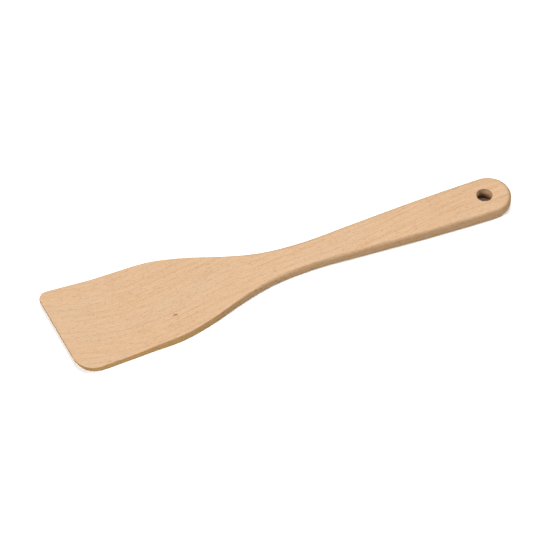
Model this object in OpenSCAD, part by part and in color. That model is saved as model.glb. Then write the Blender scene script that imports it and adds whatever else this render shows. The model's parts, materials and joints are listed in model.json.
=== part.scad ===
// Wooden kitchen turner, cut and sanded from a single board.
// It lies on its flat underside at z = 0, which lifts only behind the thin tip edge. The
// handle's axis is the X axis, with the round handle end at +X and the blade tip at -X. The
// blade's leading corner is on the +Y side.

/* [Overall] */
// Length from the handle end to the leading corner of the blade
total_len = 300; // [270:5:340]

/* [Handle outline] */
// Width across the round end of the handle
end_w = 28.8; // [26:0.2:32]
// Width a fifth of the way along, under the palm
palm_w = 26.8; // [24:0.2:30]
// Width a third of the way along, where the fingers close
finger_w = 22.4; // [20:0.2:26]
// Width at the waist, the narrowest place
waist_w = 19.6; // [17:0.2:22]

/* [Blade outline] */
// Width where the flared shoulders end
shoulder_w = 59.4; // [54:0.2:64]
// Width where the straight sides of the blade begin
blade_w = 61.8; // [58:0.2:68]
// Width that the straight sides would have at the leading corner
tip_w = 66.8; // [62:0.2:74]
// Angle of the tip edge to a square cut, in degrees
tip_slant = 6; // [0:0.5:12]
// Radius of the leading corner
lead_r = 5.5; // [2:0.25:12]
// Radius of the trailing corner
trail_r = 13.5; // [6:0.25:18]

/* [Thickness] */
// Thickness at the handle end
end_t = 9.4; // [7.5:0.1:12]
// Thickness at the waist
waist_t = 7.6; // [6.8:0.1:9]
// Thickness at the blade's shoulders
shoulder_t = 6.3; // [5.4:0.1:7]
// Thickness of the flat of the blade
blade_t = 4.5; // [3.5:0.1:5]
// Thickness at the tip edge
tip_t = 1.5; // [1.2:0.1:2.4]

/* [Edges] */
// Radius of the rounded edges along the handle
handle_edge_r = 3; // [1:0.1:3.2]
// Radius of the broken edges around the blade
blade_edge_r = 0.4; // [0.2:0.05:0.5]

/* [Hanging hole] */
// Diameter of the hanging hole
hole_d = 10; // [6:0.5:12]
// Distance from the handle end to the middle of the hole
hole_at = 17.2; // [15:0.2:20]
// Width of the small chamfer on both rims of the hole
hole_chamfer = 0.2; // [0.1:0.05:0.5]

/* [Hidden] */
$fn = 96;
overcut = 1;

// Steps of the mesh: around a quarter of the handle end, along a side, around a corner,
// across the board, and around the rounded edge
end_steps = 14;
side_steps = 70;
corner_steps = 12;
cross_steps = 6;
edge_steps = 4;

end_r = end_w / 2;
end_x = total_len / 2;
slant_tan = tan(tip_slant);
slant_cos = cos(tip_slant);

// Straight stretch of the blade's sides: where it starts, and how fast it widens
blade_at = 0.83 * total_len;
flare = (tip_w - blade_w) / 2 / (total_len - blade_at);
flare_len = sqrt(1 + flare * flare);

// Outline: [distance from the handle end, half width]. Between the waist and the
// shoulders it climbs an S-curve given by shares of that stretch's length and rise.
waist_at = 0.46 * total_len;
shoulder_at = 0.757 * total_len;
climb = [[0, 0], [0.31, 0.125], [0.555, 0.415], [0.78, 0.757], [1, 1]];
outline = concat(
    [[end_r, end_w / 2], [0.197 * total_len, palm_w / 2], [0.347 * total_len, finger_w / 2]],
    [for (c = climb) [
        waist_at + c[0] * (shoulder_at - waist_at),
        (waist_w + c[1] * (shoulder_w - waist_w)) / 2
    ]],
    [[blade_at, blade_w / 2]]
);

// Height of the top face: [distance from the tip edge, height]
top_line = [
    [0, blade_t],
    [0.06 * total_len, blade_t],
    [0.107 * total_len, 0.96 * blade_t],
    [0.19 * total_len, 0.96 * shoulder_t],
    [0.27 * total_len, shoulder_t],
    [0.37 * total_len, shoulder_t + 0.31 * (waist_t - shoulder_t)],
    [0.54 * total_len, waist_t],
    [total_len, end_t]
];

// Height of the underside, which lifts to leave the tip edge thin: the same pairs, by
// shares of the overall length and of the whole lift
lift = [[0, 1], [0.013, 0.47], [0.033, 0.31], [0.06, 0]];
under_line = [for (c = lift) [c[0] * total_len, c[1] * (blade_t - tip_t)]];

// The edge radius changes between these distances from the handle end
round_until = 0.5 * total_len;
crisp_from = 0.713 * total_len;

// Corner arcs: each is tangent to a straight side of the blade and to the tip edge
lead_x = lead_r - total_len / 2;
lead_y = blade_w / 2 + flare * (end_x - lead_x - blade_at) - lead_r * flare_len;
tip_x = lead_x + lead_y * slant_tan - lead_r / slant_cos;
trail_y = (blade_w / 2 + flare * (end_x - tip_x - trail_r / slant_cos - blade_at)
    - trail_r * flare_len) / (1 + flare * slant_tan);
trail_x = tip_x + trail_y * slant_tan + trail_r / slant_cos;

// Slope of a smooth curve through points p at point i, from its neighbours
function gap(p, i) = p[i + 1][0] - p[i][0];
function chord(p, i) = (p[i + 1][1] - p[i][1]) / gap(p, i);
function slope(p, i, first, last) =
    i == 0 ? first :
    i == len(p) - 1 ? last :
    (chord(p, i - 1) * gap(p, i) + chord(p, i) * gap(p, i - 1)) / (gap(p, i) + gap(p, i - 1));

// Cubic curve between two points that keeps their slopes; t runs from 0 to 1
function cubic(a, b, slope_a, slope_b, t) =
    let (run = b[0] - a[0], t2 = t * t, t3 = t2 * t)
    a[1] * (2 * t3 - 3 * t2 + 1) + slope_a * run * (t3 - 2 * t2 + t)
    + b[1] * (3 * t2 - 2 * t3) + slope_b * run * (t3 - t2);

// Stretch of p that holds d, and the value of the curve there
function stretch(p, d, i = 0) = i >= len(p) - 2 || d < p[i + 1][0] ? i : stretch(p, d, i + 1);
function curve(p, d, first, last) =
    let (i = stretch(p, d), t = max(0, min(1, (d - p[i][0]) / gap(p, i))))
    cubic(p[i], p[i + 1], slope(p, i, first, last), slope(p, i + 1, first, last), t);

function half_width(d) = d > blade_at
    ? blade_w / 2 + flare * (d - blade_at)
    : curve(outline, d, 0, flare);
function tip_distance(x, y) = (x - tip_x + y * slant_tan) * slant_cos;
function top_z(x, y) =
    curve(top_line, tip_distance(x, y), 0, chord(top_line, len(top_line) - 2));
function under_z(x, y) = curve(under_line, tip_distance(x, y), chord(under_line, 0), 0);

function smooth_step(t) = t <= 0 ? 0 : t >= 1 ? 1 : t * t * (3 - 2 * t);
function edge_r(x) =
    handle_edge_r + (blade_edge_r - handle_edge_r)
    * smooth_step((end_x - x - round_until) / (crisp_from - round_until));

// One half of the outline, from the handle end to the tip edge. Side is 1 for the
// leading side and -1 for the trailing side. Each entry is [x, y, outward direction].
function half_loop(side) =
    let (
        r = side > 0 ? lead_r : trail_r,
        cx = side > 0 ? lead_x : trail_x,
        cy = side > 0 ? lead_y : trail_y,
        from = 90 - atan(flare),
        to = 180 + side * tip_slant,
        last = end_x - cx - r * cos(from)
    )
    concat(
        [for (i = [0 : end_steps - 1]) let (a = 90 * i / end_steps)
            [end_x - end_r + end_r * cos(a), side * end_r * sin(a), side * a]],
        [for (i = [0 : side_steps - 1])
            let (
                d = end_r + (last - end_r) * i / side_steps,
                rise = (half_width(d + 0.01) - half_width(d - 0.01)) / 0.02
            )
            [end_x - d, side * half_width(d), side * (90 - (i == 0 ? 0 : atan(rise)))]],
        [for (i = [0 : corner_steps]) let (a = from + (to - from) * i / corner_steps)
            [cx + r * cos(a), side * (cy + r * sin(a)), side * a]]
    );

// The points of the board's edge above and below one outline point, from the flat of
// the underside out to the side and in to the top face
function edge_profile(p) =
    let (
        r = edge_r(p[0]),
        outward = [cos(p[2]), sin(p[2])],
        inner = [p[0], p[1]] - r * outward,
        top = top_z(inner[0], inner[1]),
        under = under_z(inner[0], inner[1])
    )
    concat(
        [for (i = [0 : edge_steps]) let (a = 90 * i / edge_steps, q = inner + r * sin(a) * outward)
            [q[0], q[1], under + r - r * cos(a)]],
        [for (i = [0 : edge_steps]) let (a = 90 * i / edge_steps, q = inner + r * cos(a) * outward)
            [q[0], q[1], top - r + r * sin(a)]]
    );

// Sections across the board from the trailing to the leading side, each a closed ring:
// under the board, around the leading edge, over the top, and around the trailing edge
lead_half = half_loop(1);
trail_half = half_loop(-1);
row_count = len(lead_half);
profile_count = 2 * (edge_steps + 1);
ring_count = 2 * profile_count + 2 * (cross_steps - 1);

function across(a, b, t) = a + (b - a) * t;
function on_top(p) = [p[0], p[1], top_z(p[0], p[1])];
function on_under(p) = [p[0], p[1], under_z(p[0], p[1])];
function ring(i) =
    let (
        lead = edge_profile(lead_half[i]),
        trail = edge_profile(trail_half[i]),
        last = profile_count - 1
    )
    concat(
        lead,
        [for (j = [1 : cross_steps - 1]) on_top(across(lead[last], trail[last], j / cross_steps))],
        [for (j = [last : -1 : 0]) trail[j]],
        [for (j = [1 : cross_steps - 1]) on_under(across(trail[0], lead[0], j / cross_steps))]
    );

// At the handle end both halves share one edge profile, so the board starts there
first_profile = edge_profile(lead_half[0]);
rings_start = profile_count;
board_points = concat(first_profile, [for (i = [1 : row_count - 1]) each ring(i)]);

function at(i, j) = rings_start + (i - 1) * ring_count + j % ring_count;
// Point of the first profile that meets point j of the first ring
function start_of(j) =
    let (k = j % ring_count, over = profile_count + cross_steps - 1)
    k < profile_count ? k :
    k < over ? profile_count - 1 :
    k < over + profile_count ? profile_count - 1 - (k - over) : 0;

start_faces = [for (j = [0 : ring_count - 1])
    let (a = start_of(j), b = start_of(j + 1), c = at(1, j), d = at(1, j + 1))
    each a == b ? [[a, d, c]] : [[a, d, c], [a, b, d]]];
side_faces = [for (i = [1 : row_count - 2], j = [0 : ring_count - 1])
    let (a = at(i, j), b = at(i, j + 1), c = at(i + 1, j), d = at(i + 1, j + 1))
    each [[a, d, c], [a, b, d]]];

// The tip edge closes the last ring: its profile is carried from one corner arc to the other
function tip_edge(k) = [for (j = [0 : cross_steps])
    let (
        lead = edge_profile(lead_half[row_count - 1]),
        trail = edge_profile(trail_half[row_count - 1])
    )
    across(lead[k], trail[k], j / cross_steps)];
last_row = row_count - 1;
tip_start = len(board_points);
tip_points = [for (k = [1 : profile_count - 2], j = [1 : cross_steps - 1]) tip_edge(k)[j]];
function tip_at(k, j) =
    j == 0 ? at(last_row, k) :
    j == cross_steps ? at(last_row, 2 * profile_count + cross_steps - 2 - k) :
    k == 0 ? at(last_row, ring_count - j) :
    k == profile_count - 1 ? at(last_row, profile_count - 1 + j) :
    tip_start + (k - 1) * (cross_steps - 1) + j - 1;
tip_faces = [for (k = [0 : profile_count - 2], j = [0 : cross_steps - 1])
    let (a = tip_at(k, j), b = tip_at(k + 1, j), c = tip_at(k, j + 1), d = tip_at(k + 1, j + 1))
    each [[a, d, c], [a, b, d]]];

// The shaped board, before the hole
module board() {
    polyhedron(
        points = concat(board_points, tip_points),
        faces = concat(start_faces, side_faces, tip_faces)
    );
}

// Straight hanging hole with a small chamfer on the top and the underside
module hanging_hole() {
    rim_z = top_z(end_x - hole_at, 0);
    translate([end_x - hole_at, 0, -overcut])
        cylinder(d = hole_d, h = rim_z + 2 * overcut);
    translate([end_x - hole_at, 0, rim_z - hole_chamfer])
        cylinder(d1 = hole_d, d2 = hole_d + 2 * (hole_chamfer + overcut), h = hole_chamfer + overcut);
    translate([end_x - hole_at, 0, -overcut])
        cylinder(d1 = hole_d + 2 * (hole_chamfer + overcut), d2 = hole_d, h = hole_chamfer + overcut);
}

module spatula() {
    color([0.84, 0.69, 0.52])
        difference() {
            board();
            hanging_hole();
        }
}

spatula();
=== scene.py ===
import json
import math

import bpy
import numpy as np
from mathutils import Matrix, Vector


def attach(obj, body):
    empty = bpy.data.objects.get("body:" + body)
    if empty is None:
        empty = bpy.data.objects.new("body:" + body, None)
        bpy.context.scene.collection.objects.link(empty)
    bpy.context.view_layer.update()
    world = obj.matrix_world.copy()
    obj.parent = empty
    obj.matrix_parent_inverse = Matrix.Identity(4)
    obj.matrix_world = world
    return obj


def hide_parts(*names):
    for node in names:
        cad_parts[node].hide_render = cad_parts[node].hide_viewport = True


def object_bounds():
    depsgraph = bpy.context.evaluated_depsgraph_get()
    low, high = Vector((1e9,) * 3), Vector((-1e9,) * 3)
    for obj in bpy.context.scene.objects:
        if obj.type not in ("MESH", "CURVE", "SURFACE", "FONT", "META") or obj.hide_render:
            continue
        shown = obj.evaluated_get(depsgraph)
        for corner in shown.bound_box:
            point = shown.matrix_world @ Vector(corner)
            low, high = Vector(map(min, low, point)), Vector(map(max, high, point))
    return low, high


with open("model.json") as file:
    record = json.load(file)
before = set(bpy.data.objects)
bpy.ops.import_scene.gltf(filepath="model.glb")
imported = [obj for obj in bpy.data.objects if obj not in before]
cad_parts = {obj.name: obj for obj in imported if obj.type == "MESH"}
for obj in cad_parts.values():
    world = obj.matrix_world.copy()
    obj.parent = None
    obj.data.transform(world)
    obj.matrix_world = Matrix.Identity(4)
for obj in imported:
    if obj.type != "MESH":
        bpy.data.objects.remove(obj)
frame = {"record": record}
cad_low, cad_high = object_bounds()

MM = 0.001

# ------------------------------------------------------------------ board dimensions
LENGTH = (cad_high.x - cad_low.x) / MM
HANDLE_END_X = cad_high.x / MM

# Widths (W), radii (R) and thicknesses (T) of the board. The leading side of the blade is
# at positive y, and the trailing side is at negative y.
END_W, PALM_W, FINGER_W, WAIST_W = 28.8, 26.8, 22.4, 19.6
SHOULDER_W, BLADE_W, TIP_W = 59.4, 61.8, 66.8
TIP_SLANT = math.radians(6.0)
LEAD_R, TRAIL_R = 5.5, 13.5
END_T, WAIST_T, SHOULDER_T, BLADE_T, TIP_T = 9.4, 7.6, 6.3, 4.5, 1.5
HANDLE_EDGE_R, BLADE_EDGE_R = 3.0, 0.4

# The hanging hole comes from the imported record. Its rims are rounded by HOLE_RIM.
hole_mount = next(m for m in frame["record"]["mounts"] if m["name"] == "hanging_hole")
HOLE_X, HOLE_Y = (value / MM for value in hole_mount["pos_m"][:2])
HOLE_R = hole_mount["dims"]["r_mm"]
HOLE_RIM = 0.25

# Mesh density: steps around a quarter of the handle end, along a side, around a blade
# corner, across the board, around each rounded edge, up the side between those edges, out
# from the hole, around each rim of the hole, and up its wall
END_STEPS, SIDE_STEPS, CORNER_STEPS = 16, 150, 20
CROSS_STEPS, EDGE_STEPS, SIDE_CUTS = 36, 8, 3
SPOKE_STEPS, RIM_STEPS, WALL_STEPS = 8, 5, 6

# The rings around the hole crowd towards it by this power. They reach as far behind its
# middle as the handle end is beyond it, less SPOKE_TRIM.
SPOKE_CROWDING, SPOKE_TRIM = 1.15, 1.0

# Steps over which slopes are measured, along the outline and across an edge
OUTLINE_STEP, SLOPE_STEP = 0.01, 0.05

END_R = END_W / 2
BLADE_AT = 0.83 * LENGTH
FLARE = (TIP_W - BLADE_W) / 2 / (LENGTH - BLADE_AT)
FLARE_LEN = math.hypot(1, FLARE)
SLANT_TAN, SLANT_COS = math.tan(TIP_SLANT), math.cos(TIP_SLANT)

# Outline: (distance from the handle end, half width). The climb from the waist to the
# shoulder is (share of the way, share of the rise).
WAIST_AT, SHOULDER_AT = 0.46 * LENGTH, 0.757 * LENGTH
CLIMB = ((0, 0), (0.31, 0.125), (0.555, 0.415), (0.78, 0.757), (1, 1))
OUTLINE = [(END_R, END_W / 2), (0.197 * LENGTH, PALM_W / 2), (0.347 * LENGTH, FINGER_W / 2)]
OUTLINE += [(WAIST_AT + a * (SHOULDER_AT - WAIST_AT), (WAIST_W + b * (SHOULDER_W - WAIST_W)) / 2)
            for a, b in CLIMB]
OUTLINE += [(BLADE_AT, BLADE_W / 2)]

# Heights of the top face and of the underside: (distance from the tip edge, height). The
# underside is flat, and rises over its last stretch to leave the tip edge thin. That rise
# is (share of the length, share of the rise). The edge rounding fades from the handle's to
# the blade's between ROUND_UNTIL and CRISP_FROM, both from the handle end.
TOP_LINE = [(0, BLADE_T), (0.06 * LENGTH, BLADE_T), (0.107 * LENGTH, 0.96 * BLADE_T),
            (0.19 * LENGTH, 0.96 * SHOULDER_T), (0.27 * LENGTH, SHOULDER_T),
            (0.37 * LENGTH, SHOULDER_T + 0.31 * (WAIST_T - SHOULDER_T)),
            (0.54 * LENGTH, WAIST_T), (LENGTH, END_T)]
LIFT = ((0, 1), (0.013, 0.47), (0.033, 0.31), (0.06, 0))
UNDER_LINE = [(a * LENGTH, b * (BLADE_T - TIP_T)) for a, b in LIFT]
ROUND_UNTIL, CRISP_FROM = 0.5 * LENGTH, 0.713 * LENGTH

# Corner arcs, each tangent to a straight side of the blade and to the tip edge
LEAD_X = HANDLE_END_X - LENGTH + LEAD_R
LEAD_Y = BLADE_W / 2 + FLARE * (HANDLE_END_X - LEAD_X - BLADE_AT) - LEAD_R * FLARE_LEN
TIP_X = LEAD_X + LEAD_Y * SLANT_TAN - LEAD_R / SLANT_COS
TRAIL_Y = ((BLADE_W / 2 + FLARE * (HANDLE_END_X - TIP_X - TRAIL_R / SLANT_COS - BLADE_AT)
            - TRAIL_R * FLARE_LEN) / (1 + FLARE * SLANT_TAN))
TRAIL_X = TIP_X + TRAIL_Y * SLANT_TAN + TRAIL_R / SLANT_COS


def smooth_step(t):
    t = np.clip(t, 0, 1)
    return t * t * (3 - 2 * t)


def smooth_curve(points, first_slope, last_slope, at):
    """Cubic curve through points, with slopes at inner points taken from both neighbours."""
    px, py = np.array(points, float).T
    gap = np.diff(px)
    chord = np.diff(py) / gap
    slope = np.concatenate([[first_slope],
                            (chord[:-1] * gap[1:] + chord[1:] * gap[:-1]) / (gap[1:] + gap[:-1]),
                            [last_slope]])
    i = np.clip(np.searchsorted(px, at, side="right") - 1, 0, len(gap) - 1)
    t = np.clip((at - px[i]) / gap[i], 0, 1)
    return (py[i] * (2 * t**3 - 3 * t**2 + 1) + slope[i] * gap[i] * (t**3 - 2 * t**2 + t)
            + py[i + 1] * (3 * t**2 - 2 * t**3) + slope[i + 1] * gap[i] * (t**3 - t**2))


def half_width(d):
    return np.where(d > BLADE_AT, BLADE_W / 2 + FLARE * (d - BLADE_AT),
                    smooth_curve(OUTLINE, 0, FLARE, d))


def end_slope(points, i, j):
    return (points[j][1] - points[i][1]) / (points[j][0] - points[i][0])


def tip_distance(x, y):
    return (x - TIP_X + y * SLANT_TAN) * SLANT_COS


def top_z(x, y):
    return smooth_curve(TOP_LINE, 0, end_slope(TOP_LINE, -2, -1), tip_distance(x, y))


def under_z(x, y):
    return smooth_curve(UNDER_LINE, end_slope(UNDER_LINE, 0, 1), 0, tip_distance(x, y))


def edge_radius(x):
    t = (HANDLE_END_X - x - ROUND_UNTIL) / (CRISP_FROM - ROUND_UNTIL)
    return HANDLE_EDGE_R + (BLADE_EDGE_R - HANDLE_EDGE_R) * smooth_step(t)


def half_loop(side):
    """Outline stations (x, y, outward angle) from the handle end to the tip edge."""
    r, cx, cy = (LEAD_R, LEAD_X, LEAD_Y) if side > 0 else (TRAIL_R, TRAIL_X, TRAIL_Y)
    start, stop = math.pi / 2 - math.atan(FLARE), math.pi + side * TIP_SLANT
    a = np.linspace(0, math.pi / 2, END_STEPS + 1)[:-1]
    end = [HANDLE_END_X - END_R + END_R * np.cos(a), END_R * np.sin(a), a]
    d = np.linspace(END_R, HANDLE_END_X - cx - r * math.cos(start), SIDE_STEPS + 1)[:-1]
    rise = (half_width(d + OUTLINE_STEP) - half_width(d - OUTLINE_STEP)) / (2 * OUTLINE_STEP)
    rise[0] = 0
    flank = [HANDLE_END_X - d, half_width(d), math.pi / 2 - np.arctan(rise)]
    a = np.linspace(start, stop, CORNER_STEPS + 1)
    corner = [cx + r * np.cos(a), cy + r * np.sin(a), a]
    loop = np.concatenate([np.array(part).T for part in (end, flank, corner)])
    loop[:, 1:] *= side
    return loop


def edge_profile(station):
    """Points from the flat of the underside, out around the side, and in to the top face.
    Each rounded edge starts along the slope of the face that it leaves."""
    x, y, angle = station
    r = float(edge_radius(x))
    out = np.array([math.cos(angle), math.sin(angle)])
    inner = np.array([x, y]) - r * out
    near = inner + SLOPE_STEP * out
    top, under = float(top_z(*inner)), float(under_z(*inner))
    fall = math.atan((top - float(top_z(*near))) / SLOPE_STEP)
    climb = math.atan((float(under_z(*near)) - under) / SLOPE_STEP)
    a = np.linspace(climb, math.pi / 2, EDGE_STEPS + 1)
    low = np.stack([r * np.sin(a), under + r / math.cos(climb) - r * np.cos(a)], 1)
    a = np.linspace(math.pi / 2, fall, EDGE_STEPS + 1)
    high = np.stack([r * np.sin(a), top - r / math.cos(fall) + r * np.cos(a)], 1)
    cuts = np.linspace(low[-1], high[0], SIDE_CUTS + 2)[1:-1]
    section = np.concatenate([low, cuts, high])
    flat = inner + section[:, :1] * out
    return np.column_stack([flat, section[:, 1]])


class MeshBuilder:
    """Collects points and four-sided faces. Strips are grids of point numbers."""

    def __init__(self):
        self.points, self.faces = [], []

    def add(self, points):
        first = len(self.points)
        self.points += [tuple(p) for p in points]
        return list(range(first, len(self.points)))

    def strip(self, rows, closed=False):
        """Faces between neighbouring rows of equally many points."""
        for low, high in zip(rows[:-1], rows[1:]):
            pairs = list(zip(low, high))
            if closed:
                pairs.append(pairs[0])
            for (a, d), (b, c) in zip(pairs[:-1], pairs[1:]):
                self.faces.append((a, b, c, d))


def cross_row(start, stop):
    return [start + (stop - start) * j / CROSS_STEPS for j in range(1, CROSS_STEPS)]


def face_sheet(builder, rim, lead_count, height, flip):
    """One broad face of the board: rows across the blade and handle, and rings of points
    between the hole and the round end. rim holds the point numbers of the edge around the
    face, first along the leading side to the tip and then back, and height gives the face's
    height at x and y. Returns the ring at the hole, and the directions of its points from
    the hole's middle."""
    xyz = builder.points
    lead = rim[:lead_count]
    trail = rim[:1] + rim[:lead_count - 1:-1]
    spokes_end = 2 * HOLE_X - HANDLE_END_X + SPOKE_TRIM
    cut = next(i for i in range(lead_count) if xyz[lead[i]][0] < spokes_end)

    def row(i):
        a, b = (np.array(xyz[n][:2]) for n in (lead[i], trail[i]))
        inner = [(x, y, height(x, y)) for x, y in cross_row(a, b)]
        return [lead[i]] + builder.add(inner) + [trail[i]]

    rows = [row(i) for i in range(cut, lead_count - 1)]
    rows.append(rim[lead_count - 1:lead_count + CROSS_STEPS])
    builder.strip(rows if flip else rows[::-1])

    boundary = lead[:cut] + rows[0] + trail[1:cut][::-1]
    outer = np.array([xyz[n][:2] for n in boundary])
    angles = np.arctan2(outer[:, 1] - HOLE_Y, outer[:, 0] - HOLE_X)
    circle = np.stack([np.cos(angles), np.sin(angles)], 1)
    first = np.array([HOLE_X, HOLE_Y]) + (HOLE_R + HOLE_RIM) * circle
    rings = []
    for k in range(SPOKE_STEPS):
        ring = first + (outer - first) * (k / SPOKE_STEPS) ** SPOKE_CROWDING
        rings.append(builder.add([(x, y, height(x, y)) for x, y in ring]))
    rings.append(boundary)
    builder.strip(rings if flip else rings[::-1], closed=True)
    return rings[0], circle


def build_board():
    """The whole board as points in millimetres and faces that look outwards."""
    builder = MeshBuilder()
    lead, trail = half_loop(1), half_loop(-1)
    tip = np.array(cross_row(lead[-1], trail[-1]))
    tip[:, 2] = lead[-1][2]
    loop = np.concatenate([lead, tip, trail[:0:-1]])
    sections = np.array([edge_profile(s) for s in loop])
    rings = [builder.add(sections[:, j]) for j in range(sections.shape[1])]
    builder.strip(rings, closed=True)

    def top(x, y):
        return float(top_z(x, y))

    def under(x, y):
        return float(under_z(x, y))

    upper, circle = face_sheet(builder, rings[-1], len(lead), top, False)
    lower, _ = face_sheet(builder, rings[0], len(lead), under, True)

    # The hole: rounded rims and a straight wall, from the underside up
    quarter = np.linspace(0, math.pi / 2, RIM_STEPS + 1)
    rim_z = np.array([builder.points[n][2] for n in upper])
    wall_rings = [lower]
    for a in quarter[1:]:
        radius = HOLE_R + HOLE_RIM * (1 - math.sin(a))
        ring = np.array([HOLE_X, HOLE_Y]) + radius * circle
        z = np.full(len(ring), HOLE_RIM * (1 - math.cos(a)))
        wall_rings.append(builder.add(np.column_stack([ring, z])))
    wall = np.array([HOLE_X, HOLE_Y]) + HOLE_R * circle
    for t in np.linspace(0, 1, WALL_STEPS + 1)[1:-1]:
        z = HOLE_RIM + (rim_z - 2 * HOLE_RIM) * t
        wall_rings.append(builder.add(np.column_stack([wall, z])))
    for a in quarter[:-1]:
        radius = HOLE_R + HOLE_RIM * (1 - math.cos(a))
        ring = np.array([HOLE_X, HOLE_Y]) + radius * circle
        z = rim_z - HOLE_RIM * (1 - math.sin(a))
        wall_rings.append(builder.add(np.column_stack([ring, z])))
    wall_rings.append(upper)
    builder.strip(wall_rings[::-1], closed=True)
    return builder


board = build_board()
mesh = bpy.data.meshes.new("turner_board")
mesh.from_pydata([(x * MM, y * MM, z * MM) for x, y, z in board.points], [], board.faces)
mesh.validate()
mesh.shade_smooth()
turner = bpy.data.objects.new("turner_board", mesh)
bpy.context.scene.collection.objects.link(turner)
weighted = turner.modifiers.new("Even shading", "WEIGHTED_NORMAL")
weighted.weight = 100  # the broad faces decide the shading at their edges


# ------------------------------------------------------------------------- material
class Tree:
    """Short names for building a node tree."""

    def __init__(self, tree):
        self.tree = tree

    def node(self, kind, inputs=(), **settings):
        made = self.tree.nodes.new(kind)
        for name, value in settings.items():
            setattr(made, name, value)
        for key, value in dict(inputs).items():
            if isinstance(value, bpy.types.NodeSocket):
                self.tree.links.new(value, made.inputs[key])
            else:
                made.inputs[key].default_value = value
        return made

    def math(self, operation, *values, clamp=False):
        return self.node("ShaderNodeMath", enumerate(values), operation=operation,
                         use_clamp=clamp).outputs[0]

    def vector(self, operation, *values):
        return self.node("ShaderNodeVectorMath", enumerate(values), operation=operation).outputs[0]

    def length(self, value):
        return self.node("ShaderNodeVectorMath", {0: value}, operation="LENGTH").outputs["Value"]

    def mix(self, amount, first, second, blend="MIX"):
        return self.node("ShaderNodeMix", {0: amount, 6: first, 7: second},
                         data_type="RGBA", blend_type=blend).outputs[2]

    def combine(self, x, y, z):
        return self.node("ShaderNodeCombineXYZ", enumerate((x, y, z))).outputs[0]

    def noise(self, where, detail=2.0, roughness=0.5):
        return self.node("ShaderNodeTexNoise",
                         {"Vector": where, "Scale": 1.0, "Detail": detail,
                          "Roughness": roughness}).outputs["Fac"]

    def ramp(self, value, low, high, start=0.0, stop=1.0):
        """Smooth step from start, where the value is low, to stop, where it is high."""
        return self.node("ShaderNodeMapRange",
                         {"Value": value, "From Min": low, "From Max": high,
                          "To Min": start, "To Max": stop},
                         interpolation_type="SMOOTHSTEP").outputs[0]


# Colours of the wood. A tone multiplies the colour under it. The tones of the sides, low edges
# and hole's wall are painted shade, and the end grain tone is partly painted shade.
PALE_WOOD, DARK_WOOD = (0.436, 0.296, 0.182, 1.0), (0.296, 0.140, 0.040, 1.0)
MARK_COLOUR = (0.23, 0.062, 0.010, 1.0)
COOL_TONE, WARM_TONE = (0.992, 1.004, 1.022, 1.0), (1.006, 0.990, 0.970, 1.0)
# Painted shade on the upright sides, which are darker than the broad faces.
BLADE_SIDE_SHADE, HANDLE_SIDE_SHADE = (0.77, 0.715, 0.62, 1.0), (0.69, 0.658, 0.642, 1.0)
# Painted shade on the lower rounded edges, darker and warmer where they face down.
BLADE_LOW_EDGE_SHADE, HANDLE_LOW_EDGE_SHADE = (1.0, 0.90, 0.41, 1.0), (1.0, 0.945, 0.62, 1.0)
# End grain tone: partly the darker end grain, partly painted shade on faces turned to the ends.
END_GRAIN_AND_SHADE = (0.76, 0.69, 0.50, 1.0)
# Painted shade low in the hole's wall, darker towards its bottom.
HOLE_PAINTED_SHADE = (0.30, 0.185, 0.125, 1.0)

# Where each tone starts and where it is full. Tilt is 0 on a level face and 1 on an upright
# one, and the painted shade of the sides goes by it. The painted shade of the low edges goes by
# tilt and by the normal's upward part, the end grain tone, partly painted shade, by its part
# along the board, and the painted shade low in the hole's wall by height. From the hole's rim
# outwards, the other tones take over within HOLE_BORDER of its wall.
SIDE_SHADE_TILT, LOW_EDGE_SHADE_TILT = (0.3, 1.0), (0.1, 0.7)
LOW_EDGE_SHADE_NORMAL, END_NORMAL = (0.6, -0.2), (0.0, 0.7)
HOLE_SHADE_HEIGHT = (6.4, 2.4)
HOLE_BORDER = 2.0

# Stretches along the board, as x: from the blade's painted side and edge shades to the handle's,
# from the blade's contrast to the handle's, and from the blade's hue to the handle's. A painted
# pool of light makes the neck palest at x = 0, and NECK_ZONE is how that starts and ends on
# either side of it.
SIDE_AND_EDGE_SHADE_ZONE, CONTRAST_ZONE, WARMTH_ZONE = (-75.0, -30.0), (-60.0, -10.0), (-50.0, 10.0)
NECK_ZONE = (100.0, 0.0)

# Course of the grain: a lean across the board, a slow wave, and a swing that starts before
# the tip
GRAIN_LEAN = 0.11
WAVE_HEIGHT, WAVE_RATE, WAVE_FROM = 1.34, 0.0449, -60.0
SWING_FROM, SWING_RATE = -92.0, 0.0035

# Patterns that follow the grain: length and width of their features, and a shift that makes
# each its own pattern. A shift moves the three coordinates by these shares of itself.
FIBRES, STREAKS = (1.5, 0.17, 1.7), (26.0, 0.38, 6.3)
CLOUDS, HUES = (55.0, 13.0, 4.0), (80.0, 15.0, 9.0)
RING_DRIFT, RING_RIPPLE, RING_FADE = (90.0, 26.0, 3.1), (14.0, 3.0, 8.4), (60.0, 8.0, 5.5)
RAGGED = (1.2, 0.8, 7.7)
PATTERN_SHIFT, FLECK_SHIFT = (1.0, 0.7, 1.3), (1.0, 1.7, 0.6)

# Flecks of the rays: spacing, half sizes and shift
BOLD_FLECKS = ((4.0, 1.6, 1.2), (1.05, 0.14, 0.50), 2.2)
FINE_FLECKS = ((1.9, 0.78, 0.8), (0.60, 0.11, 0.35), 5.9)
FINE_SHARE = 0.7

# Flecks are scattered about a regular grid by FLECK_SCATTER. Each one's size is a random
# share from LEAST_SIZE up, over SIZE_SPREAD. Its soft edge runs between two distances in
# half sizes. Its strength rises with a second random number, between two values of that
# number and between two strengths.
FLECK_SCATTER = 0.9
LEAST_SIZE, SIZE_SPREAD = 0.7, 0.6
FLECK_EDGE, FLECK_STRENGTH = (1.2, 0.4), (0.2, 0.95, 0.15, 1.0)

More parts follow.
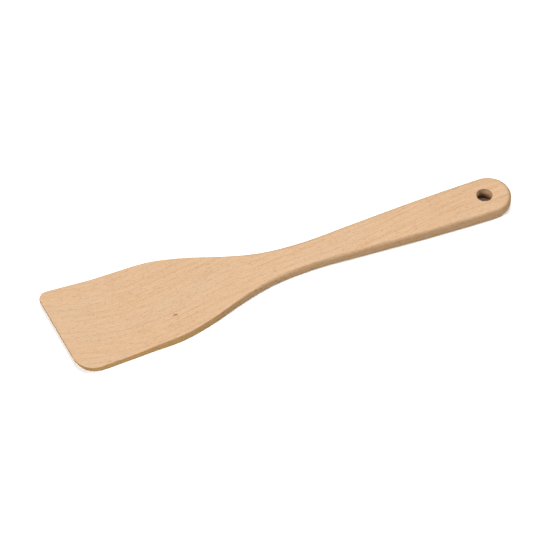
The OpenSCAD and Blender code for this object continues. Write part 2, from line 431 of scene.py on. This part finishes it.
# Growth rings: their gap, how far they lean through the thickness, how far drift and ripple
# move them, how sharply each rises to its dark line, and their strength, which goes between
# two values with a pattern
RING_GAP, RING_LEAN = 4.3, 0.8
DRIFT_REACH, RIPPLE_REACH = 5.0, 0.9
RING_POWER, RING_EDGE = 8.0, 0.93
RING_STRENGTH = (0.35, 0.65, 0.35, 1.0)

# How much each pattern darkens the wood, and how dark it is without any
FIBRE_WEIGHT, STREAK_WEIGHT, CLOUD_WEIGHT = 1.34, 1.16, 0.14
FLECK_WEIGHT, RING_WEIGHT = 1.15, 0.42
BASE_DEPTH = 0.14
# The neck's paleness here is a painted pool of light.
HANDLE_CONTRAST, NECK_PAINTED_LIGHT, HANDLE_WARMTH = 1.14, 0.05, 0.13
HUE_RANGE = (0.35, 0.65)

# Satin bare wood: its roughness, what fibres add to that, how far flecks lie below fibres,
# and the strength and height of the relief
BARE_ROUGHNESS, FIBRE_ROUGHNESS = 0.53, 0.14
FLECK_RELIEF = 0.5
RELIEF_STRENGTH, RELIEF_HEIGHT = 0.25, 0.06

# Small marks in the wood: x, y, half length, half width, strength. Their soft edges run
# between two distances in half sizes, and RAGGEDNESS pulls them in unevenly.
MARK_EDGE = (1.6, 0.5)
RAGGEDNESS = 0.9
MARKS = (
    (-77.8, -14.0, 2.0, 0.78, 1.35),
    (-80.0, -14.8, 1.8, 0.6, 0.3),
    (-77.0, -16.6, 2.2, 1.6, 0.16),
    (-46.0, 14.5, 1.5, 0.7, 0.35),
    (-81.0, 9.0, 3.4, 1.4, 0.12),
    (-50.0, 8.0, 8.0, 2.2, 0.09),
    (-75.0, -5.0, 4.0, 1.5, 0.08),
    (8.0, 5.3, 3.2, 0.6, 0.22),
    (112.0, -7.0, 2.6, 0.6, 0.22),
)


class Wood(Tree):
    """Nodes that know the place on the board in millimetres and the course of the grain."""

    def __init__(self, tree):
        super().__init__(tree)
        coords = self.node("ShaderNodeTexCoord")
        self.normal = self.node("ShaderNodeSeparateXYZ", {0: coords.outputs["Normal"]}).outputs
        self.place = self.node("ShaderNodeVectorMath",
                               {0: coords.outputs["Object"], "Scale": 1 / MM},
                               operation="SCALE").outputs[0]
        self.x, self.y, self.z = self.node("ShaderNodeSeparateXYZ", {0: self.place}).outputs
        past = self.math("MAXIMUM", self.math("SUBTRACT", SWING_FROM, self.x), 0.0)
        swing = self.math("MULTIPLY", self.math("MULTIPLY", past, past), SWING_RATE)
        turn = self.math("MULTIPLY", self.math("SUBTRACT", self.x, WAVE_FROM), WAVE_RATE)
        lean = self.math("ADD", self.math("MULTIPLY", self.x, GRAIN_LEAN),
                         self.math("MULTIPLY", self.math("SINE", turn), WAVE_HEIGHT))
        self.across = self.math("SUBTRACT", self.y, self.math("ADD", lean, swing))
        self.grain = self.combine(self.x, self.across, self.z)

    def pattern(self, kind, detail=2.0, roughness=0.5):
        """Noise drawn out along the grain."""
        length, width, shift = kind
        scaled = self.vector("MULTIPLY", self.grain, (1 / length, 1 / width, 1 / width))
        where = self.vector("ADD", scaled, tuple(shift * share for share in PATTERN_SHIFT))
        return self.noise(where, detail, roughness)

    def centred(self, value, amount):
        """A value between 0 and 1, moved to between minus and plus half the amount."""
        return self.math("MULTIPLY_ADD", value, amount, -amount / 2)

    def rings(self):
        """Growth rings: a soft rise to a thin dark line, spaced and darkened unevenly."""
        drift = self.centred(self.pattern(RING_DRIFT, 1.0), DRIFT_REACH)
        ripple = self.centred(self.pattern(RING_RIPPLE), RIPPLE_REACH)
        level = self.math("ADD", self.across, self.math("MULTIPLY", self.z, RING_LEAN))
        level = self.math("ADD", level, self.math("ADD", drift, ripple))
        phase = self.math("FRACT", self.math("DIVIDE", level, RING_GAP))
        lines = self.math("MULTIPLY", self.math("POWER", phase, RING_POWER),
                          self.ramp(phase, 1.0, RING_EDGE))
        strength = self.ramp(self.pattern(RING_FADE, 1.0), *RING_STRENGTH)
        return self.math("MULTIPLY", lines, strength)

    def dashes(self, spacing, reach, shift):
        """Scattered spindles along the grain, each a little different in size and strength."""
        scaled = self.vector("MULTIPLY", self.grain, tuple(1 / s for s in spacing))
        where = self.vector("ADD", scaled, tuple(shift * share for share in FLECK_SHIFT))
        cells = self.node("ShaderNodeTexVoronoi",
                          {"Vector": where, "Scale": 1.0, "Randomness": FLECK_SCATTER})
        pick = self.node("ShaderNodeSeparateColor", {0: cells.outputs["Color"]}).outputs
        offset = self.vector("SUBTRACT", where, cells.outputs["Position"])
        offset = self.vector("MULTIPLY", offset, tuple(s / r for s, r in zip(spacing, reach)))
        size = self.math("MULTIPLY_ADD", pick[0], SIZE_SPREAD, LEAST_SIZE)
        far = self.math("DIVIDE", self.length(offset), size)
        return self.math("MULTIPLY", self.ramp(far, *FLECK_EDGE),
                         self.ramp(pick[1], *FLECK_STRENGTH))

    def marks(self):
        """All the small marks together, with ragged edges."""
        total = 0.0
        for mark_x, mark_y, half_length, half_breadth, strength in MARKS:
            offset = self.vector("SUBTRACT", self.place, (mark_x, mark_y, 0.0))
            scaled = self.vector("MULTIPLY", offset, (1 / half_length, 1 / half_breadth, 0.0))
            far = self.math("MULTIPLY_ADD", self.pattern(RAGGED), RAGGEDNESS, self.length(scaled))
            total = self.math("MULTIPLY_ADD", self.ramp(far, *MARK_EDGE), strength, total)
        return total

    def depth(self, fibre, fleck):
        """How dark the wood is: 0 is pale and 1 is dark."""
        parts = (self.centred(self.pattern(STREAKS, 2.0, 0.6), STREAK_WEIGHT),
                 self.math("MULTIPLY", fleck, FLECK_WEIGHT),
                 self.math("MULTIPLY", self.rings(), RING_WEIGHT),
                 self.centred(self.pattern(CLOUDS), CLOUD_WEIGHT))
        total = self.centred(fibre, FIBRE_WEIGHT)
        for part in parts:
            total = self.math("ADD", total, part)
        contrast = self.ramp(self.x, *CONTRAST_ZONE, 1.0, HANDLE_CONTRAST)
        total = self.math("MULTIPLY", total, contrast)
        # A painted pool of light: the wood is paler towards the neck at x = 0.
        neck = self.ramp(self.math("ABSOLUTE", self.x), *NECK_ZONE, 0.0, NECK_PAINTED_LIGHT)
        return self.math("ADD", self.math("SUBTRACT", total, neck), BASE_DEPTH, clamp=True)

    def with_painted_shade(self, colour):
        """The colour with painted shade on the sides, on the low rounded edges and low in the
        hole's wall, and with the end grain tone, which is partly painted shade. The broad faces
        keep their colour."""
        flatness = self.math("MULTIPLY", self.normal[2], self.normal[2])
        tilt = self.math("SQRT", self.math("SUBTRACT", 1.0, flatness, clamp=True))
        steep = self.ramp(tilt, *SIDE_SHADE_TILT)
        from_middle = self.vector("SUBTRACT", self.place, (HOLE_X, HOLE_Y, 0.0))
        from_middle = self.length(self.vector("MULTIPLY", from_middle, (1.0, 1.0, 0.0)))
        outside = self.ramp(from_middle, HOLE_R + HOLE_RIM, HOLE_R + HOLE_BORDER)
        in_hole = self.math("MULTIPLY", steep, self.math("SUBTRACT", 1.0, outside))

        # Painted shade on the upright sides outside the hole.
        side = self.math("MULTIPLY", steep, outside)
        # Painted shade on the rounded edges that face down.
        low_edge_shade = self.math("MULTIPLY", self.ramp(self.normal[2], *LOW_EDGE_SHADE_NORMAL), outside)
        low_edge_shade = self.math("MULTIPLY", low_edge_shade, self.ramp(tilt, *LOW_EDGE_SHADE_TILT))
        # End grain tone, partly painted shade, on faces turned towards the ends.
        end = self.ramp(self.math("ABSOLUTE", self.normal[0]), *END_NORMAL)
        end = self.math("MULTIPLY", end, outside)
        # Painted shade on the hole's wall, darker towards its bottom.
        hole_shade = self.math("MULTIPLY", self.ramp(self.z, *HOLE_SHADE_HEIGHT), in_hole)

        on_handle = self.ramp(self.x, *SIDE_AND_EDGE_SHADE_ZONE)
        tones = ((side, self.mix(on_handle, BLADE_SIDE_SHADE, HANDLE_SIDE_SHADE)),
                 (low_edge_shade, self.mix(on_handle, BLADE_LOW_EDGE_SHADE, HANDLE_LOW_EDGE_SHADE)),
                 (end, END_GRAIN_AND_SHADE), (hole_shade, HOLE_PAINTED_SHADE))
        for amount, tone in tones:
            colour = self.mix(amount, colour, tone, "MULTIPLY")
        return colour


def beech():
    material = bpy.data.materials.new("beech")
    material.use_nodes = True
    t = Wood(material.node_tree)
    shader = next(n for n in t.tree.nodes if n.type == "BSDF_PRINCIPLED")

    fibre = t.pattern(FIBRES, 2.0, 0.6)
    fleck = t.math("MAXIMUM", t.dashes(*BOLD_FLECKS),
                   t.math("MULTIPLY", t.dashes(*FINE_FLECKS), FINE_SHARE))
    colour = t.mix(t.depth(fibre, fleck), PALE_WOOD, DARK_WOOD)
    colour = t.mix(t.marks(), colour, MARK_COLOUR)
    hue = t.math("ADD", t.pattern(HUES, 1.0), t.ramp(t.x, *WARMTH_ZONE, 0.0, HANDLE_WARMTH))
    tone = t.mix(t.ramp(hue, *HUE_RANGE), COOL_TONE, WARM_TONE)
    colour = t.mix(1.0, colour, tone, "MULTIPLY")
    t.tree.links.new(t.with_painted_shade(colour), shader.inputs["Base Color"])

    rough = t.math("MULTIPLY_ADD", fibre, FIBRE_ROUGHNESS, BARE_ROUGHNESS)
    t.tree.links.new(rough, shader.inputs["Roughness"])
    shader.inputs["IOR"].default_value = 1.45
    shader.inputs["Specular IOR Level"].default_value = 0.35
    relief = t.math("SUBTRACT", fibre, t.math("MULTIPLY", fleck, FLECK_RELIEF))
    bump = t.node("ShaderNodeBump", {"Height": relief, "Strength": RELIEF_STRENGTH,
                                     "Distance": RELIEF_HEIGHT * MM})
    t.tree.links.new(bump.outputs[0], shader.inputs["Normal"])
    return material


turner.data.materials.append(beech())
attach(turner, "root")
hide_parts("spatula")

# ----------------------------------------------------------------------------- studio
FLOOR_HALF = 6.0
FLOOR_COLOUR = (0.93, 0.93, 0.93, 1.0)
LIGHT_DISTANCE = 4.0
SKY_STRENGTH = 0.15

floor_mesh = bpy.data.meshes.new("floor")
floor_mesh.from_pydata([(sx * FLOOR_HALF, sy * FLOOR_HALF, cad_low.z)
                        for sx, sy in ((-1, -1), (1, -1), (1, 1), (-1, 1))], [], [(0, 1, 2, 3)])
floor = bpy.data.objects.new("floor", floor_mesh)
bpy.context.scene.collection.objects.link(floor)
paper = bpy.data.materials.new("pale_floor")
paper.use_nodes = True
paper_shader = next(n for n in paper.node_tree.nodes if n.type == "BSDF_PRINCIPLED")
paper_shader.inputs["Base Color"].default_value = FLOOR_COLOUR
paper_shader.inputs["Roughness"].default_value = 0.9
paper_shader.inputs["Specular IOR Level"].default_value = 0.1
floor_mesh.materials.append(paper)


def direction(azimuth, elevation):
    """Unit vector towards a place seen at that azimuth and elevation in degrees. Azimuth 0 is
    in front of the long near side and 90 is beyond the handle end."""
    a, e = math.radians(azimuth), math.radians(elevation)
    return Vector((math.sin(a) * math.cos(e), -math.cos(a) * math.cos(e), math.sin(e)))


def soft_box(name, azimuth, elevation, size, power):
    """An area light that faces the middle of the board: angles in degrees, size in metres
    and power in watts."""
    data = bpy.data.lights.new(name, "AREA")
    data.shape = "RECTANGLE"
    data.size, data.size_y = size
    data.energy = power
    light = bpy.data.objects.new(name, data)
    bpy.context.scene.collection.objects.link(light)
    towards = direction(azimuth, elevation)
    light.location = towards * LIGHT_DISTANCE
    light.rotation_euler = towards.to_track_quat("Z", "Y").to_euler()


soft_box("left_box", -72, 40, (0.6, 0.6), 146.0)
soft_box("right_box", 80, 45, (1.6, 0.9), 108.0)
soft_box("back_box", 158, 71, (1.2, 0.6), 96.0)
soft_box("front_box", -22, 38, (2.0, 0.6), 20.0)

world = bpy.data.worlds.new("studio")
bpy.context.scene.world = world
world.use_nodes = True
sky = next(n for n in world.node_tree.nodes if n.type == "BACKGROUND")
sky.inputs["Color"].default_value = (1.0, 1.0, 1.0, 1.0)
sky.inputs["Strength"].default_value = SKY_STRENGTH

# ----------------------------------------------------------------------------- camera
CAMERA_AZIMUTH, CAMERA_ELEVATION = -21.731, 52.431
CAMERA_TARGET = Vector((-9.214, -3.654, 0.0)) * MM
CAMERA_DISTANCE = 1.482
CAMERA_LENS, CAMERA_SENSOR = 158.43, 36.0
camera_data = bpy.data.cameras.new("camera")
camera_data.lens = CAMERA_LENS
camera_data.sensor_width = CAMERA_SENSOR
camera = bpy.data.objects.new("camera", camera_data)
bpy.context.scene.collection.objects.link(camera)
back = direction(CAMERA_AZIMUTH, CAMERA_ELEVATION)
camera.location = CAMERA_TARGET + back * CAMERA_DISTANCE
camera.rotation_euler = (-back).to_track_quat("-Z", "Y").to_euler()
bpy.context.scene.camera = camera
bpy.context.scene.view_settings.view_transform = "Standard"
